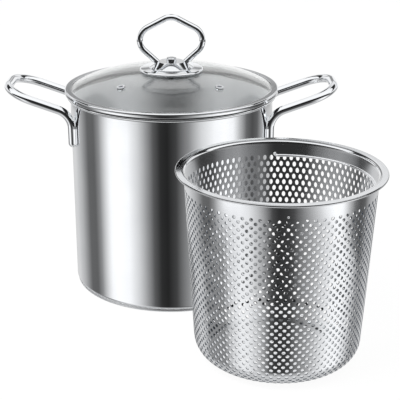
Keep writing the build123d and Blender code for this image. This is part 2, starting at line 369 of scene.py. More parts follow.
def new_mesh(name, verts, faces, sharp=35.0):
    """Mesh with outward faces, shaded smooth but for edges that turn by more than sharp degrees."""
    mesh = plain_mesh(name, verts, faces)
    work = bmesh.new()
    work.from_mesh(mesh)
    bmesh.ops.recalc_face_normals(work, faces=work.faces)
    work.to_mesh(mesh)
    work.free()
    mesh.set_sharp_from_angle(angle=sharp * deg)
    return mesh


def added(name, data):
    """Object of some data, put into the scene."""
    thing = bpy.data.objects.new(name, data)
    bpy.context.scene.collection.objects.link(thing)
    return thing


def piece(name, mesh, slot, body, *nodes):
    """Object of a mesh that rides on a body, has a material slot and stands for the nodes.

    The basket, its bail and the pot's shell don't show in mirror surfaces, as in the photograph."""
    thing = added(name, mesh)
    mesh.materials.append(materials[slot])
    thing.visible_glossy = body not in ("basket", "bail")
    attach(thing, body)
    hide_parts(*nodes)
    return thing


def solid(name, shape, slot, body, *nodes, sharp=35.0):
    """Piece from a list of vertices and one of faces."""
    return piece(name, new_mesh(name, *shape, sharp), slot, body, *nodes)


class Graph:
    """A node tree, with short calls that add nodes and join them."""

    def __init__(self, tree):
        self.tree = tree

    def add(self, kind, **settings):
        node = self.tree.nodes.new("ShaderNode" + kind)
        for name, value in settings.items():
            setattr(node, name, value)
        return node

    def join(self, value, socket):
        if isinstance(value, bpy.types.NodeSocket):
            self.tree.links.new(value, socket)
        else:
            socket.default_value = value

    def feed(self, node, values):
        for name, value in values.items():
            self.join(value, node.inputs[name])

    def math(self, operation, *values):
        node = self.add("Math", operation=operation)
        for value, socket in zip(values, node.inputs):
            self.join(value, socket)
        return node.outputs[0]

    def split(self, vector):
        node = self.add("SeparateXYZ")
        self.join(vector, node.inputs[0])
        return node.outputs

    def span(self, value, low, high, to_low=0.0, to_high=1.0):
        node = self.add("MapRange", interpolation_type="SMOOTHSTEP")
        self.feed(node, {"Value": value, "From Min": low, "From Max": high,
                         "To Min": to_low, "To Max": to_high})
        return node.outputs["Result"]

    def window(self, value, rise, fall):
        """1 between two soft edges and 0 outside, each edge given by where it starts and ends."""
        return self.math("MULTIPLY", self.span(value, *rise), self.span(value, *fall, 1.0, 0.0))

    def ramp(self, factor, stops):
        node = self.add("ValToRGB")
        elements = node.color_ramp.elements
        while len(elements) < len(stops):
            elements.new(0.5)
        for element, (place, level) in zip(elements, sorted(stops)):
            element.position = place
            element.color = level if isinstance(level, tuple) else (level, level, level, 1)
        self.join(factor, node.inputs["Fac"])
        return node.outputs["Color"]

    def mix(self, factor, a, b):
        node = self.add("Mix", data_type="RGBA")
        self.join(factor, node.inputs[0])
        self.join(a, node.inputs[6])
        self.join(b, node.inputs[7])
        return node.outputs[2]

    def place(self):
        return self.add("TexCoord").outputs["Object"]

    def noise(self, place, scale, detail=2.0):
        node = self.add("TexNoise")
        self.feed(node, {"Vector": place, "Scale": scale, "Detail": detail})
        return node.outputs["Fac"]

    def relief(self, height, strength, distance):
        node = self.add("Bump")
        self.feed(node, {"Strength": strength, "Distance": distance, "Height": height})
        return node.outputs["Normal"]


# Surfaces: the span of a noise that is used, how far steel drifts in colour from its level, and
# the soft edges of a band of painted shade and of a satin inside
noise_low = 0.3
noise_high = 0.7
steel_low = (-0.05, -0.035, -0.01)
steel_high = (0.01, 0.025, 0.045)
steel_drift = 22.0
steel_relief = 0.05 * mm
spun_turn_share = 0.004
shade_band_edge = 0.2 * mm
satin_edge = 0.1 * mm
materials = {}


def new_material(name):
    """Graph and main shader of a material that is kept under its name."""
    material = bpy.data.materials.new(name)
    material.use_nodes = True
    materials[name] = material
    return Graph(material.node_tree), material.node_tree.nodes["Principled BSDF"]


def spun_place(graph, centre_x, centre_y):
    """Texture place in radius and height about an upright axis, so that marks run round it."""
    x, y, z = graph.split(graph.place())
    x = graph.math("SUBTRACT", x, centre_x)
    y = graph.math("SUBTRACT", y, centre_y)
    squares = graph.math("ADD", graph.math("MULTIPLY", x, x), graph.math("MULTIPLY", y, y))
    turn = graph.math("MULTIPLY", graph.math("ARCTAN2", y, x), spun_turn_share)
    join = graph.add("CombineXYZ")
    graph.feed(join, {"X": graph.math("SQRT", squares), "Y": z, "Z": turn})
    return join.outputs[0]


def steel(name, level, rough, grain=2200.0, bump=0.03, centre=None, painted_shade_bands=(), satin=None):
    """Polished stainless steel: fine polishing lines and a faint drift in colour and gloss.

    centre is the axis that the lines run round. The bands of painted shade are listed by height,
    (low, high, share): there the colour is darkened by share, to paint the shade in a gap or a
    joint, and satin is a (radius, roughness added inside it)."""
    graph, shader = new_material(name)
    place = spun_place(graph, *centre) if centre else graph.place()
    lines = graph.noise(place, grain, 3.0)
    low = tuple(level + share for share in steel_low) + (1,)
    high = tuple(level + share for share in steel_high) + (1,)
    drift = graph.noise(graph.place(), steel_drift)
    color = graph.ramp(drift, [(noise_low, low), (noise_high, high)])
    gloss = graph.span(lines, noise_low, noise_high, *rough)
    if centre:
        r, z, turn = graph.split(place)
        # Painted shade: each band darkens the colour to share of the steel's low colour, over a gap
        # or joint where shade falls.
        for band_low, band_high, share in painted_shade_bands:
            band = graph.window(z, (band_low - shade_band_edge, band_low + shade_band_edge),
                                (band_high - shade_band_edge, band_high + shade_band_edge))
            color = graph.mix(band, color, tuple(share * v for v in low[:3]) + (1,))
        if satin:
            inside = graph.span(r, satin[0] - satin_edge, satin[0] + satin_edge, 1.0, 0.0)
            gloss = graph.math("ADD", gloss, graph.math("MULTIPLY", inside, satin[1]))
    graph.feed(shader, {"Base Color": color, "Roughness": gloss, "Metallic": 1.0,
                        "Normal": graph.relief(lines, bump, steel_relief)})


def glass(name):
    """Clear tempered glass with a faint grey cast and a trace of waviness."""
    graph, shader = new_material(name)
    wave = graph.noise(graph.place(), 14.0)
    cast = [(noise_low, (0.88, 0.90, 0.90, 1)), (noise_high, (0.90, 0.92, 0.92, 1))]
    graph.feed(shader, {"Base Color": graph.ramp(wave, cast), "Roughness": 0.0, "IOR": 1.5,
                        "Transmission Weight": 1.0, "Normal": graph.relief(wave, 0.02, 0.2 * mm)})


def silicone(name):
    """Grey silicone rubber with a soft mottle."""
    graph, shader = new_material(name)
    mottle = graph.noise(graph.place(), 900.0)
    tone = graph.ramp(mottle, [(noise_low, 0.30), (noise_high, 0.38)])
    graph.feed(shader, {"Base Color": tone, "Roughness": 0.5,
                        "Normal": graph.relief(mottle, 0.1, 0.1 * mm)})


def aluminium(name):
    """Plain cast aluminium, duller than the steel around it."""
    graph, shader = new_material(name)
    speckle = graph.noise(graph.place(), 700.0)
    tone = graph.ramp(speckle, [(noise_low, 0.62), (noise_high, 0.72)])
    gloss = graph.span(speckle, noise_low, noise_high, 0.3, 0.45)
    graph.feed(shader, {"Base Color": tone, "Roughness": gloss, "Metallic": 1.0})


pot_axis = (0.0, 0.0)
basket_axis = (basket_x, basket_y)
# The pot's steel is darkened on top of the bead, where the lid's band sits on it, and in the joint
# under the bead: painted shade in these gaps.
steel("pot_steel", 0.88, (0.05, 0.08), centre=pot_axis,
      painted_shade_bands=[(pot_rim_z - 0.9 * mm, pot_rim_z + 1.0 * mm, 0.12),
            (pot_rim_z - 4.4 * mm, pot_rim_z - 3.0 * mm, 0.25)],
      satin=(pot_r - 0.5 * pot_sheet, 0.3))
steel("base_steel", 0.92, (0.40, 0.50), centre=pot_axis)
steel("wire_steel", 0.90, (0.03, 0.04), grain=500.0, bump=0.002)
# The band's steel is darkened at its lower corner, over the pot's lip: painted shade in the gap.
steel("band_steel", 0.88, (0.04, 0.08), centre=pot_axis,
      painted_shade_bands=[(rim_low.z, glass_z + 0.3 * mm, 0.12)])
steel("knob_steel", 0.88, (0.04, 0.08), centre=pot_axis)
steel("fixing_steel", 0.80, (0.10, 0.20), grain=900.0, bump=0.05)
# The basket's steel is darkened just under the flange's top face, along the rolled edge: painted
# shade.
steel("basket_steel", 0.88, (0.08, 0.12), centre=basket_axis,
      painted_shade_bands=[(basket_h - 0.8 * mm, basket_h - 0.3 * mm, 0.12)])
# The basket's inner face takes a darker copy of its steel: painted shade inside the basket.
steel("basket_inner_painted_shade", 0.75, (0.08, 0.12), centre=basket_axis)
# The walls of the punched holes take near black steel: painted shade in the holes.
steel("hole_wall_painted_shade", 0.12, (0.35, 0.5), grain=900.0, bump=0.1)
aluminium("core_aluminium")
glass("lid_glass")
silicone("silicone")


def pot_shell():
    """Drawn pot: floor, straight wall, and the rim turned out into a rolled bead."""
    inner_r = pot_r - pot_sheet
    inner_corner = pot_corner_r - pot_sheet
    lip_round = pot_lip_share * pot_sheet
    bead_r = pot_lip_r - pot_bead_r
    bead_z = pot_rim_z - pot_bead_r
    meet = math.asin(math.sqrt(pot_bead_r ** 2 - (bead_r - pot_r) ** 2) / pot_bead_r) / deg
    outline = [(0, floor_z + pot_sheet), (0, floor_z)]
    outline += arc(pot_r - pot_corner_r, floor_z + pot_corner_r, pot_corner_r, -90, 0)
    outline += arc(bead_r, bead_z, pot_bead_r, 180 + meet, 450, 22)
    outline += arc(inner_r + lip_round, pot_rim_z - lip_round, lip_round, 90, 180)
    outline += arc(inner_r - inner_corner, floor_z + pot_sheet + inner_corner, inner_corner, 0, -90)
    shell = solid("pot_shell_polished", lathe(outline), "pot_steel", "pot", "pot_shell")
    shell.visible_glossy = False


def base_cap():
    """Capsule wrapped round the aluminium disc under the pot."""
    half = base_sheet / 2
    line = [(0, half), (base_r - half, half), (base_r - half, floor_z - half)]
    outline = sheet_outline(line, base_sheet, [base_corner_r - half], open_start=False)
    solid("base_cap_polished", lathe(outline), "base_steel", "pot", "base_cap")


def side_handle(name, side):
    """Bent rod loop with both legs laid on the wall, flattened where they are welded to it."""
    leg_r = pot_r + handle_rod_r - weld_sink
    leg_x = side * math.sqrt(leg_r ** 2 - handle_half ** 2)
    tip_x = side * handle_reach
    far = [
        (leg_x, handle_half, handle_foot_z),
        (leg_x, handle_half, handle_corner_z),
        (tip_x, handle_half, handle_tip_z),
    ]
    near = [(x, -y, z) for x, y, z in far]
    bends = [handle_bend_r, handle_loop_r]
    line = rounded(near + far[::-1], bends + bends[::-1], turn=3.0)
    verts, faces = tube(line, handle_rod_r, sides=40, dome=7)
    for v in verts:
        r = math.hypot(v.x, v.y)
        if r < pot_r - weld_bite:
            v.x *= (pot_r - weld_bite) / r
            v.y *= (pot_r - weld_bite) / r
    solid(name + "_polished", (verts, faces), "wire_steel", "pot", name)


def shoulder_arc():
    """Radius and centre (radius, height) of the glass shoulder's upper arc."""
    slope = math.asin(crown_r / crown_radius)
    run = glass_flat_r - crown_r
    fall = crown_z - flange_top_z - crown_drop
    chord = math.hypot(run, fall)
    r = chord / (2 * math.sin(math.atan2(fall, run) - slope))
    return r, crown_r - r * math.sin(slope), crown_z - crown_drop - r * math.cos(slope)


def glass_height(r):
    """Height of the dome's outer face at a radius."""
    if r <= crown_r:
        return crown_z - crown_radius + math.sqrt(crown_radius ** 2 - r ** 2)
    if r < glass_flat_r:
        arc_r, mid_r, mid_z = shoulder_arc()
        return mid_z + math.sqrt(arc_r ** 2 - (r - mid_r) ** 2)
    return flange_top_z


def vent_place(side):
    """Matrix that puts a piece made about Z onto the dome at a vent, along the glass normal."""
    arc_r, mid_r, mid_z = shoulder_arc()
    slope = math.asin((vent_ring_r - mid_r) / arc_r)
    angle = math.pi + vent_angle if side < 0 else -vent_angle
    spot = Vector((vent_ring_r * math.cos(angle), vent_ring_r * math.sin(angle),
                   mid_z + arc_r * math.cos(slope)))
    normal = Vector((math.sin(slope) * math.cos(angle), math.sin(slope) * math.sin(angle),
                     math.cos(slope)))
    return Matrix.Translation(spot) @ normal.to_track_quat("Z", "Y").to_matrix().to_4x4()


def holed_disc(rings, holes):
    """Triangles in plan over a ring-shaped or round field with round holes left open.

    rings holds the rings of points, outermost first, and holes the points round each hole. The
    result has the points, the faces, and the places of the outermost ring and of each hole."""
    points, edges, faces, loops = [], [], [], []
    for group in rings[:1] + holes:
        first = len(points)
        points += group
        loops.append(range(first, len(points)))
        edges += [(first + i, first + (i + 1) % len(group)) for i in range(len(group))]
    for group in rings[1:]:
        points += group
    found = delaunay_2d_cdt([Vector(p) for p in points], edges, [], 0, merge_gap)
    spots = found[0]
    middles = [sum((Vector(p) for p in hole), Vector((0, 0))) / len(hole) for hole in holes]
    reaches = [max((Vector(p) - m).length for p in hole) for hole, m in zip(holes, middles)]
    for face in found[2]:
        middle = sum((spots[i] for i in face), Vector((0, 0))) / len(face)
        if all((middle - m).length > hole_share * reach for m, reach in zip(middles, reaches)):
            faces.append(list(face))
    places = {source: i for i, sources in enumerate(found[3]) for source in sources}
    return spots, faces, [[places[i] for i in loop] for loop in loops]


def lid_dome():
    """Domed glass with its centre hole, two vent holes and a rounded edge."""
    steps = 200
    hole_n = 48
    vent_n = 32
    shoulder_n = 14
    crown_n = 10
    shoulder_w = glass_flat_r - crown_r
    crown_w = crown_r - glass_hole_r
    radii = [glass_edge_r - glass_edge_round, glass_flat_r]
    radii += [crown_r + shoulder_w * i / shoulder_n for i in range(shoulder_n - 1, -1, -1)]
    radii += [glass_hole_r + crown_w * i / crown_n for i in range(crown_n - 1, 0, -1)]
    verts, faces, sides = [], [], []
    for drop in (0.0, glass_t):
        vents = []
        for side in (-1, 1):
            place = vent_place(side)
            tilt = place.to_3x3() @ Vector((0, 0, 1))
            spot = place.translation - tilt * drop * tilt.z
            vents.append((spot.x, spot.y))
        clear = vent_clear_share * vent_tube_r
        field = [circle(0, 0, r, steps) for r in radii]
        field = field[:1] + [[p for p in ring if all(math.dist(p, v) > clear for v in vents)]
                             for ring in field[1:]]
        holes = [circle(0, 0, glass_hole_r, hole_n)]
        for vx, vy in vents:
            holes.append(circle(vx, vy, vent_tube_r + vent_fit, vent_n))
            field.append(circle(vx, vy, vent_ring_share * (vent_tube_r + vent_fit), vent_n))
        spots, cover, loops = holed_disc(field, holes)
        first = len(verts)
        verts += [Vector((p.x, p.y, glass_height(p.length) - drop)) for p in spots]
        faces += [[first + i for i in face] for face in cover]
        sides.append([[first + i for i in loop] for loop in loops])
    round_z = flange_top_z - glass_edge_round
    low_z = glass_z + glass_edge_round
    edge = arc(glass_edge_r - glass_edge_round, round_z, glass_edge_round, 90, 0, 5)[1:]
    edge += arc(glass_edge_r - glass_edge_round, low_z, glass_edge_round, 0, -90, 5)[:-1]
    upper_side, lower_side = sides
    last = upper_side[0]
    for r, z in edge:
        first = len(verts)
        verts += [Vector((x, y, z)) for x, y in circle(0, 0, r, steps)]
        ring = list(range(first, first + steps))
        faces += [[last[i], last[i - 1], ring[i - 1], ring[i]] for i in range(steps)]
        last = ring
    for upper, lower in zip([last] + upper_side[1:], lower_side):
        faces += [[upper[i], upper[i - 1], lower[i - 1], lower[i]] for i in range(len(upper))]
    solid("lid_glass_clear", (verts, faces), "lid_glass", "lid", "lid_glass", sharp=22.0)


def lid_rim():
    """Band rolled round the glass edge, with the skirt that centres it in the pot's mouth."""
    half = band_sheet / 2
    low_z = rim_low.z
    band_z = glass_z - band_sheet
    outer_r = rim_high.x - half
    skirt_mid = locating_r - half
    line = [
        (skirt_mid, low_z + half),
        (skirt_mid, band_z + half),
        (outer_r, band_z + half),
        (outer_r, flange_top_z + half),
        (glass_edge_r - band_lip_w + half, flange_top_z + half),
    ]
    outline = sheet_outline(line, band_sheet, [band_sheet, band_corner_r, band_corner_r])
    solid("lid_rim_polished", lathe(outline), "band_steel", "lid", "lid_rim")


def vent_grommet(name, side):
    """Eyelet: a tube through the glass with a rolled flange on each face."""
    depth = glass_t + 2 * vent_proud
    top = vent_proud + vent_flange_t
    low = vent_proud - depth - vent_flange_t
    half = vent_flange_t / 2
    outline = arc(vent_bore_r + half, top - half, half, 180, 90, 5)
    outline += arc(vent_flange_r - half, top - half, half, 90, -90, 8)
    outline += [(vent_tube_r, vent_proud), (vent_tube_r, vent_proud - depth)]
    outline += arc(vent_flange_r - half, low + half, half, 90, -90, 8)
    outline += arc(vent_bore_r + half, low + half, half, 270, 180, 5)
    solid(name + "_turned", lathe(outline, 64, vent_place(side)), "fixing_steel", "lid", name)


def knob_loop():
    """Wire loop that is gripped: a kite with rounded corners, its feet under the cap."""
    foot_z = cap_top_z - loop_foot_drop
    lean = math.atan2(loop_side_rise, loop_side - loop_foot)
    end_z = loop_low_z + loop_wire_r
    end_x = loop_foot - (foot_z - end_z) / math.tan(lean)
    right = [(loop_side, 0, foot_z + loop_side_rise), (end_x, 0, end_z)]
    left = [(-x, y, z) for x, y, z in right[::-1]]
    bends = [loop_side_bend_r, loop_top_bend_r, loop_side_bend_r]
    line = rounded(left + [(0, 0, foot_z + loop_top_rise)] + right, bends, turn=3.0)
    wire = tube(line, loop_wire_r, sides=40)
    solid("knob_loop_polished", wire, "wire_steel", "lid", "knob_loop")


def knob_cap():
    """Spun cap over the strip that carries the wire."""
    half = cap_sheet / 2
    line = [
        (screw_r + screw_fit + half, cap_top_z - half),
        (cap_top_r, cap_top_z - half),
        (cap_base_r - cap_sheet, cap_low.z + half),
    ]
    outline = sheet_outline(line, cap_sheet, [cap_round])
    solid("knob_cap_spun", lathe(outline, 128), "knob_steel", "lid", "knob_cap")


def knob_skirt():
    """Wide shallow disc under the cap, its edge turned down over the glass."""
    half = skirt_sheet / 2
    top = skirt_high.z - half
    edge_r = skirt_r - half
    line = [
        (screw_r + screw_fit + half, top),
        (cap_base_r, top),
        (edge_r, top - skirt_fall),
        (edge_r, skirt_low.z + half),
    ]
    outline = sheet_outline(line, skirt_sheet, [cap_base_r, skirt_round])
    solid("knob_skirt_spun", lathe(outline, 128), "knob_steel", "lid", "knob_skirt")


def knob_gasket():
    """Silicone disc between skirt and glass, its rim slightly bulged."""
    low = gasket_low.z
    high = gasket_high.z
    bulge = (high - low) / 2
    hole_r = screw_r + screw_fit
    outline = [(hole_r, high), (hole_r, low)]
    outline += arc(gasket_high.x - bulge, (low + high) / 2, bulge, -90, 90, 10)
    solid("knob_gasket_moulded", lathe(outline, 96), "silicone", "lid", "knob_gasket")


def knob_screw():
    """Round-head screw that clamps the knob through the glass, slotted across its head."""
    head_r = screw_high.x
    head_z = screw_high.z
    outline = [(0, head_z)]
    outline += arc(head_r - screw_head_round, head_z - screw_head_round, screw_head_round, 90, 0, 8)
    outline += [(head_r, cap_top_z), (screw_r, cap_top_z), (screw_r, screw_low.z), (0, screw_low.z)]
    screw = solid("knob_screw_turned", lathe(outline, 72), "fixing_steel", "lid", "knob_screw")
    slot_x = 2 * head_r
    slot_y = screw_slot_w / 2
    ends = (head_z - screw_slot_depth, head_z + screw_slot_depth)
    corners = [(x, y, z) for x in (-slot_x, slot_x) for y in (-slot_y, slot_y) for z in ends]
    sides = [(0, 1, 3, 2), (4, 6, 7, 5), (0, 4, 5, 1), (2, 3, 7, 6), (0, 2, 6, 4), (1, 5, 7, 3)]
    tool = added("slot_tool", new_mesh("slot_tool", corners, sides))
    cut = screw.modifiers.new("cut", "BOOLEAN")
    cut.operation = "DIFFERENCE"
    cut.solver = "EXACT"
    cut.object = tool
    graph = bpy.context.evaluated_depsgraph_get()
    screw.data = bpy.data.meshes.new_from_object(screw.evaluated_get(graph))
    screw.modifiers.remove(cut)
    bpy.data.objects.remove(tool)
    screw.data.shade_smooth()
    screw.data.set_sharp_from_angle(angle=25 * deg)


wall_top_z = basket_h - basket_mouth_round - basket_collar


def wall_r(z):
    """Outer radius of the basket's wall at a height."""
    return basket_base_r + basket_taper * z / basket_h


def basket_rim():
    """Flared mouth and flange in one bent sheet, with a rolled edge outside."""
    half = basket_sheet / 2
    inset = half / math.cos(basket_lean)
    lip_z = basket_h - half
    bead_r = basket_flange_r - basket_bead_r
    bead_z = basket_h - basket_bead_r
    line = rounded([
        (wall_r(wall_top_z) - inset, wall_top_z),
        (wall_r(lip_z) - inset, lip_z),
        (bead_r, lip_z),
    ], [basket_mouth_round - half])
    inner, outer = sheet_sides(line, basket_sheet)
    meet = math.asin((lip_z - half - bead_z) / basket_bead_r) / deg
    outline = [(wall_r(wall_top_z) - 2 * inset, wall_top_z)] + [tuple(p) for p in inner[1:-1]]
    outline += arc(bead_r, bead_z, basket_bead_r, 90, -180 - meet, 20)
    outline += [tuple(p) for p in outer[-2:0:-1]] + [(wall_r(wall_top_z), wall_top_z)]
    shape = lathe(outline, 256, basket_centre)
    solid("basket_rim_rolled", shape, "basket_steel", "basket", "basket_rim")


foot_mid_r = basket_base_r - basket_corner_r * math.tan((math.pi / 2 - basket_lean) / 2)
cone_end_z = basket_corner_r * (1 - math.sin(basket_lean))
cone_length = (wall_top_z - cone_end_z) / math.cos(basket_lean)
foot_length = basket_corner_r * (math.pi / 2 - basket_lean)
wall_length = cone_length + foot_length + foot_mid_r - basket_floor_r


def wall_section(s):
    """Radius, height and outward normal of the wall's outer face, s down from its top."""
    if s <= cone_length:
        out = math.cos(basket_lean)
        down = math.sin(basket_lean)
        r = foot_mid_r + basket_corner_r * out + (cone_length - s) * down
        return r, wall_top_z - s * out, out, -down
    turn = -basket_lean - min(s - cone_length, foot_length) / basket_corner_r
    flat = max(0.0, s - cone_length - foot_length)
    r = foot_mid_r + basket_corner_r * math.cos(turn) - flat
    return r, basket_corner_r * (1 + math.sin(turn)), math.cos(turn), math.sin(turn)


def wall_point(angle, s, depth):
    """Point at an angle about the basket's axis, s down the wall and depth in from outside."""
    r, z, normal_r, normal_z = wall_section(s)
    r -= depth * normal_r
    z -= depth * normal_z
    return Vector((basket_x + r * math.cos(angle), basket_y + r * math.sin(angle), z))


def wall_normal(angle, s):
    """Outward normal of the wall at an angle, s down from its top."""
    r, z, normal_r, normal_z = wall_section(s)
    return Vector((normal_r * math.cos(angle), normal_r * math.sin(angle), normal_z))


def punched_half(start, pitch, row, hole, side_share):
    """Half of the basket's wall as a closed sheet with staggered rows of punched holes.

    Each hole sits in a six-cornered cell, and the cells of one row mesh with those of the next.
    side_share is the part of the row's step that the corners beside a hole lie above and below it.
    The result has a normal for each corner of each face, and the material of each face: 0 on the
    outer side, 1 inside a hole and 2 on the inner side."""
    ref_r = (basket_top_r + basket_base_r) / 2
    count = round(math.pi * ref_r / pitch)
    half_turn = math.pi / count / 2
    first_s = (wall_top_z - collar_z) / math.cos(basket_lean)
    hole_x, hole_s = hole
    rows = int((wall_length - first_s - hole_s) / row)
    side = side_share * row
    tip = row - side
    ring_n = 12
    half_ring = ring_n // 2
    quarters = ((0, 1, 0, 1), (2, 1, half_ring, -1), (3, 4, half_ring, 1), (5, 4, 0, -1))
    columns = 2 * count + 1
    verts, faces, normals, finishes = [], [], [], []

    def add_vert(angle, s, depth):
        verts.append(wall_point(angle, s, depth))
        return len(verts) - 1, angle, s

    def add_face(corners, ways, finish=0):
        faces.append(corners)
        normals.extend(ways)
        finishes.append(finish)

    def line_s(k, j):
        """Place down the wall of line k, which lies below hole row k, at half column j."""
        if k < -1 or k > rows - 1:
            return 0.0 if k < -1 else wall_length
        step = tip if (j + max(k, 0)) % 2 else side
        return first_s - step if k == -1 else first_s + k * row + step

    lines = {}
    for layer, depth in enumerate((0.0, basket_sheet)):
        for k in range(-2, rows + 1):
            for j in range(columns):
                lines[layer, k, j] = add_vert(start + j * half_turn, line_s(k, j), depth)

    def sheet_face(layer, corners):
        """Face on one side, from (vertex, angle, s) corners in the order seen from outside."""
        sign = 1 if layer == 0 else -1
        corners = corners[::sign]
        ways = [wall_normal(angle, s) * sign for v, angle, s in corners]
        add_face([c[0] for c in corners], ways, 2 * layer)

    for layer in (0, 1):
        for k in range(-1, rows + 1):
            for j in range(columns - 1):
                if k in range(rows) and not (k % 2 and j in (0, columns - 2)):
                    continue
                sheet_face(layer, [lines[layer, k - 1, j], lines[layer, k, j],
                                   lines[layer, k, j + 1], lines[layer, k - 1, j + 1]])

    for k in range(rows):
        s_mid = first_s + k * row
        r_mid = wall_section(s_mid)[0]
        shrink = min(1.0, r_mid / (basket_base_r + basket_sheet))
        for j in range(1 if k % 2 == 0 else 2, columns - 1, 2):
            angle_mid = start + j * half_turn
            rings = []
            for layer, depth in enumerate((0.0, basket_sheet)):
                ring = [add_vert(angle_mid + hole_x * shrink * x / r_mid, s_mid - hole_s * y, depth)
                        for x, y in circle(0, 0, 1, ring_n)]
                rings.append(ring)
                box = [lines[layer, k - 1, i] for i in (j + 1, j, j - 1)]
                box += [lines[layer, k, i] for i in (j - 1, j, j + 1)]
                for near, far, base, turn in quarters:
                    marks = [ring[(base + turn * i) % ring_n] for i in range(ring_n // 4 + 1)]
                    cell = [(box[near], marks[1], marks[0]), (box[near], marks[2], marks[1]),
                            (box[near], box[far], marks[3], marks[2])]
                    for corners in cell:
                        sheet_face(layer, list(corners)[::turn])
                sheet_face(layer, [box[0], ring[0], box[5]])
                sheet_face(layer, [box[3], ring[half_ring], box[2]])
            middle = wall_point(angle_mid, s_mid, basket_sheet / 2)
            way = wall_normal(angle_mid, s_mid)
            for i in range(ring_n):
                m = (i + 1) % ring_n
                corners = [c[0] for c in (rings[0][i], rings[0][m], rings[1][m], rings[1][i])]
                outs = [middle - verts[c] for c in corners]
                add_face(corners, [(out - way * out.dot(way)).normalized() for out in outs], 1)

    def edge_face(a, b):
        """Face across the sheet's thickness between two neighbouring edge points."""
        spots = ((0, *a), (0, *b), (1, *b), (1, *a))
        corners = [lines[spot][0] for spot in spots]
        p = [verts[c] for c in corners]
        way = (p[1] - p[0]).cross(p[3] - p[0]).normalized()
        add_face(corners, [way] * 4)

    for j in range(columns - 1):
        edge_face((-2, j), (-2, j + 1))
        edge_face((rows, j + 1), (rows, j))
    for k in range(-2, rows):
        edge_face((k + 1, 0), (k, 0))
        edge_face((k, columns - 1), (k + 1, columns - 1))
    return verts, faces, normals, finishes


def seam(angle):
    """Flat weld bead down the joint between the two halves, on both faces of the sheet."""
    steps = 90
    length = cone_length + seam_foot_share * foot_length
    verts = []
    for i in range(steps + 1):
        s = length * i / steps
        r = wall_section(s)[0]
        ripple = 1 + seam_ripple_share * math.sin(i * seam_ripple_turn)
        for share, rise in zip(seam_shares, seam_rise_shares):
            verts.append(wall_point(angle + share * seam_half_w / r, s, -rise * seam_rise * ripple))
        for share, rise in zip(seam_shares[::-1], seam_rise_shares):
            depth = basket_sheet + rise * seam_rise * ripple
            verts.append(wall_point(angle + share * seam_half_w / r, s, depth))
    n = 2 * len(seam_shares)
    ends = [list(range(n))[::-1], [steps * n + k for k in range(n)]]
    return verts, hoops(steps + 1, n) + ends


def basket_wall():
    """Punched wall: two half sheets with their own hole patterns, and the weld seams between."""
    halves = [
        punched_half(math.pi, front_pitch, front_row, front_hole, front_side_share),
        punched_half(0.0, back_pitch, back_row, back_hole, back_side_share),
    ]
    verts, faces = joined(*[half[:2] for half in halves])
    normals = [tuple(way) for half in halves for way in half[2]]
    finishes = [finish for half in halves for finish in half[3]]
    mesh = plain_mesh("basket_wall_punched", verts, faces)
    mesh.normals_split_custom_set(normals)
    piece("basket_wall_punched", mesh, "basket_steel", "basket", "basket_wall")
    # The hole walls' near black steel is painted shade.
    mesh.materials.append(materials["hole_wall_painted_shade"])
    # The inner face's darker copy of the steel is painted shade.
    mesh.materials.append(materials["basket_inner_painted_shade"])
    mesh.polygons.foreach_set("material_index", finishes)
    bead = joined(seam(0.0), seam(math.pi))
    solid("basket_seam_welded", bead, "basket_steel", "basket")


def drain_places():
    """Centres of the drain holes: a triangular field about the axis, kept inside its radius."""
    field_r = basket_floor_r - drain_margin
    row_step = drain_pitch * math.sqrt(3) / 2
    rows = int(field_r / row_step)
    columns = int(field_r / drain_pitch) + 1
    places = [((column + (row % 2) / 2) * drain_pitch, row * row_step)
              for row in range(-rows, rows + 1) for column in range(-columns, columns + 1)]
    return [place for place in places if math.hypot(*place) <= field_r]


def basket_floor():
    """Flat disc welded into the foot of the wall and drilled with drain holes."""
    rim_n = 160
    hole_n = 14
    holes = [circle(x, y, drain_r, hole_n) for x, y in drain_places()]
    spots, cover, loops = holed_disc([circle(0, 0, basket_floor_r, rim_n)], holes)
    count = len(spots)
    verts = [Vector((basket_x + p.x, basket_y + p.y, z)) for z in (basket_sheet, 0) for p in spots]
    faces = [list(face) for face in cover] + [[count + i for i in face[::-1]] for face in cover]
    for ring in loops:
        faces += [[a, b, count + b, count + a] for a, b in zip([ring[-1]] + ring, ring)]
    solid("basket_floor_drilled", (verts, faces), "basket_steel", "basket", "basket_floor")


def basket_bail():
    """Wire bail laid flat inside the mouth, its ends bent out through the wall."""
    bail_half = wall_r(bail_z) - basket_sheet - bail_clear - bail_wire_r - bail_set
    end_y = wall_r(bail_z) + bail_tip_proud - bail_wire_r
    near = rounded([(0, -end_y, 0), (0, -bail_half, 0), (bail_set, -bail_half, 0)], [bail_hook_r])
    bow = [Vector((x, y, 0)) for x, y in arc(bail_set, 0, bail_half, -90, 90, 60)[1:-1]]
    far = rounded([(bail_set, bail_half, 0), (0, bail_half, 0), (0, end_y, 0)], [bail_hook_r])
    place = Matrix.Translation((basket_x, basket_y, bail_z))
    wire = tube([place @ p for p in near + bow + far], bail_wire_r, sides=20)
    solid("basket_bail_bent", wire, "wire_steel", "bail", "basket_bail")


pot_shell()
base_cap()
side_handle("handle_left", -1)
side_handle("handle_right", 1)
lid_dome()
lid_rim()
vent_grommet("vent_grommet_left", -1)
vent_grommet("vent_grommet_right", 1)
knob_loop()
knob_cap()
knob_skirt()
knob_gasket()
knob_screw()
basket_rim()
basket_wall()
basket_floor()
basket_bail()

kept_nodes = {
    "base_core": "core_aluminium",
    "knob_plate": "fixing_steel",
    "under_gasket": "silicone",
    "knob_washer": "fixing_steel",
    "knob_nut": "fixing_steel",
}
for node, slot in kept_nodes.items():
    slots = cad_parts[node].data.materials
    slots.clear()
    slots.append(materials[slot])

# Camera, fitted to the outlines of pot, lid and basket in the photograph
camera_place = Vector((28.12, -1032.66, 461.58)) * mm
camera_pitch = 20.31 * deg
camera_lens = 96.28
camera_sensor = 36.0
camera_clip = 0.05

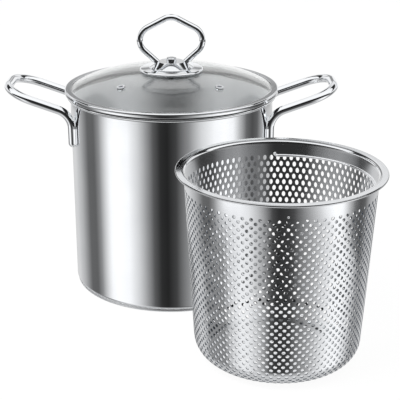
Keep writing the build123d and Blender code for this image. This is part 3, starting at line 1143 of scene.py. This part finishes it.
# Light and dark panels round the object, as its mirror surfaces show them. Each list has the
# level at some angles in degrees: up from the back horizon and over to the front one, or the
# bearing from the camera's side (-Y), + to +X, in a belt below the horizon. A dark bar with two
# gaps crosses the back of the overhead part.
overhead = [
    (-180, 0.02), (-150, 0.02), (-120, 0.8), (-25, 1.0), (10, 1.0), (12, 0.8), (13.3, 0.8),
    (13.9, 0.3), (16, 0.3), (17.5, 0.85), (28, 0.9), (96, 1.1), (143, 1.1), (148, 0.02),
    (180, 0.02),
]
upper_belt = [
    (-180, 0.9), (-160, 0.8), (-145, 0.25), (-132, 0.08), (-114, 0.08), (-106, 0.2), (-97, 0.3),
    (-80, 0.38), (-64, 0.33), (-48, 0.2), (-40, 0.1), (-34, 0.04), (5, 0.04), (11, 0.07),
    (19, 0.17), (34, 0.25), (50, 0.4), (66, 0.32), (78, 0.2), (88, 0.07), (112, 0.05),
    (126, 0.11), (146, 0.25), (160, 0.8), (180, 0.9),
]
middle_belt = [
    (-180, 0.7), (-145, 0.7), (-128, 0.5), (-110, 0.14), (-98, 0.13), (-90, 0.3), (-74, 1.1),
    (-66, 1.2), (-50, 1.12), (-38, 0.75), (-28, 0.36), (-20, 0.11), (-12, 0.03), (-4, 0.02),
    (6, 0.06), (20, 0.3), (34, 0.75), (50, 1.1), (62, 1.2), (74, 1.1), (84, 0.55), (94, 0.16),
    (104, 0.085), (114, 0.13), (126, 0.45), (142, 0.6), (180, 0.7),
]
lower_belt = [
    (-180, 0.5), (-160, 0.5), (-134, 0.7), (-120, 0.6), (-110, 0.3), (-80, 0.25), (-74, 0.45),
    (-66, 0.75), (-54, 0.97), (-42, 0.9), (-30, 0.6), (-20, 0.28), (-14, 0.08), (-6, 0.035),
    (12, 0.05), (24, 0.22), (36, 0.36), (44, 0.5), (58, 0.85), (68, 1.05),
    (86, 1.08), (98, 0.85), (106, 0.6), (116, 0.33), (130, 0.42), (160, 0.8), (180, 0.8),
]

# How far down the direction of a ray (its z) each belt starts and is full, and the level below
belts = [
    (-0.15, -0.18, upper_belt),
    (-0.257, -0.267, middle_belt),
    (-0.444, -0.456, lower_belt),
]
nadir_span = (-0.62, -0.9)
nadir_level = 0.6

# The dark bar: its edges in degrees up from the back horizon, its gaps in x, and its level
bar_edges = ((30.0, 36.0), (61.0, 66.0))
bar_gaps = ((0.03, 0.16), (0.30, 0.36))
bar_level = 0.03

# Floor and lamp: the lamp aims at the middle of the part
floor_reach = 6.0
floor_paint = 0.9
floor_glow = 1.03
floor_glow_share = 0.9
lamp_size = (0.9, 0.6)
lamp_power = 9.0
lamp_place = Vector((-0.7, -0.5, 1.3))
lamp_aim = Vector((0.03, -0.05, 0.1))


def grey(level):
    """Colour of a level of grey."""
    return (level, level, level, 1.0)


def studio_world():
    """White surround for the camera, and light and dark panels for the polished steel."""
    world = bpy.data.worlds.new("studio")
    bpy.context.scene.world = world
    world.use_nodes = True
    graph = Graph(world.node_tree)
    x, y, z = graph.split(graph.add("TexCoord").outputs["Generated"])

    def panels(up, across, levels):
        turn = graph.math("DIVIDE", graph.math("ARCTAN2", up, across), 2 * math.pi)
        stops = [(a / 360 + 0.5, level) for a, level in levels]
        return graph.ramp(graph.math("ADD", turn, 0.5), stops)

    front = graph.math("MULTIPLY", y, -1.0)
    level = panels(z, y, overhead)
    gap = graph.window(graph.math("ABSOLUTE", x), *bar_gaps)
    rise = graph.math("DIVIDE", graph.math("ARCTAN2", z, y), deg)
    bar = graph.math("MULTIPLY", graph.window(rise, *bar_edges), graph.math("SUBTRACT", 1.0, gap))
    level = graph.mix(bar, level, grey(bar_level))
    for start, full, levels in belts:
        level = graph.mix(graph.span(z, start, full), level, panels(x, front, levels))
    level = graph.mix(graph.span(z, *nadir_span), level, grey(nadir_level))
    path = graph.add("LightPath").outputs
    seen = graph.math("MAXIMUM", path["Is Camera Ray"], path["Is Transmission Ray"])
    background = world.node_tree.nodes["Background"]
    graph.feed(background, {"Color": graph.mix(seen, level, grey(1.0)), "Strength": 1.0})


def studio_floor():
    """Plain white floor that keeps a faint shadow and doesn't cover the panels in reflections."""
    signs = ((-1, -1), (1, -1), (1, 1), (-1, 1))
    corners = [(x * floor_reach, y * floor_reach, 0) for x, y in signs]
    mesh = plain_mesh("floor", corners, [(0, 1, 2, 3)])
    floor = added("floor", mesh)
    graph, shader = new_material("floor")
    nodes = graph.tree.nodes
    nodes.remove(shader)
    path = graph.add("LightPath").outputs

    def blend(factor, a, b):
        node = graph.add("MixShader")
        for value, socket in zip((factor, a.outputs[0], b.outputs[0]), node.inputs):
            graph.join(value, socket)
        return node

    matte = graph.add("BsdfDiffuse")
    graph.feed(matte, {"Color": grey(floor_paint)})
    glow = graph.add("Emission")
    graph.feed(glow, {"Strength": floor_glow})
    pale = blend(graph.math("MULTIPLY", path["Is Camera Ray"], floor_glow_share), matte, glow)
    seen = graph.math("MAXIMUM", path["Is Glossy Ray"], path["Is Transmission Ray"])
    both = blend(seen, pale, graph.add("BsdfTransparent"))
    graph.join(both.outputs[0], nodes["Material Output"].inputs["Surface"])
    mesh.materials.append(materials["floor"])


def studio_lamp():
    """One large soft lamp above and in front, on the left."""
    lamp = bpy.data.lights.new("softbox", "AREA")
    lamp.shape = "RECTANGLE"
    lamp.size, lamp.size_y = lamp_size
    lamp.energy = lamp_power
    thing = added("softbox", lamp)
    thing.location = lamp_place
    thing.rotation_euler = (lamp_aim - lamp_place).to_track_quat("-Z", "Y").to_euler()
    thing.visible_glossy = False


def place_camera():
    """Camera at the photograph's viewing angle."""
    camera = bpy.data.cameras.new("camera")
    camera.lens = camera_lens
    camera.sensor_width = camera_sensor
    camera.clip_start = camera_clip
    thing = added("camera", camera)
    thing.location = camera_place
    thing.rotation_euler = (math.pi / 2 - camera_pitch, 0, 0)
    bpy.context.scene.camera = thing


studio_world()
studio_floor()
studio_lamp()
place_camera()
bpy.context.scene.view_settings.view_transform = "Standard"
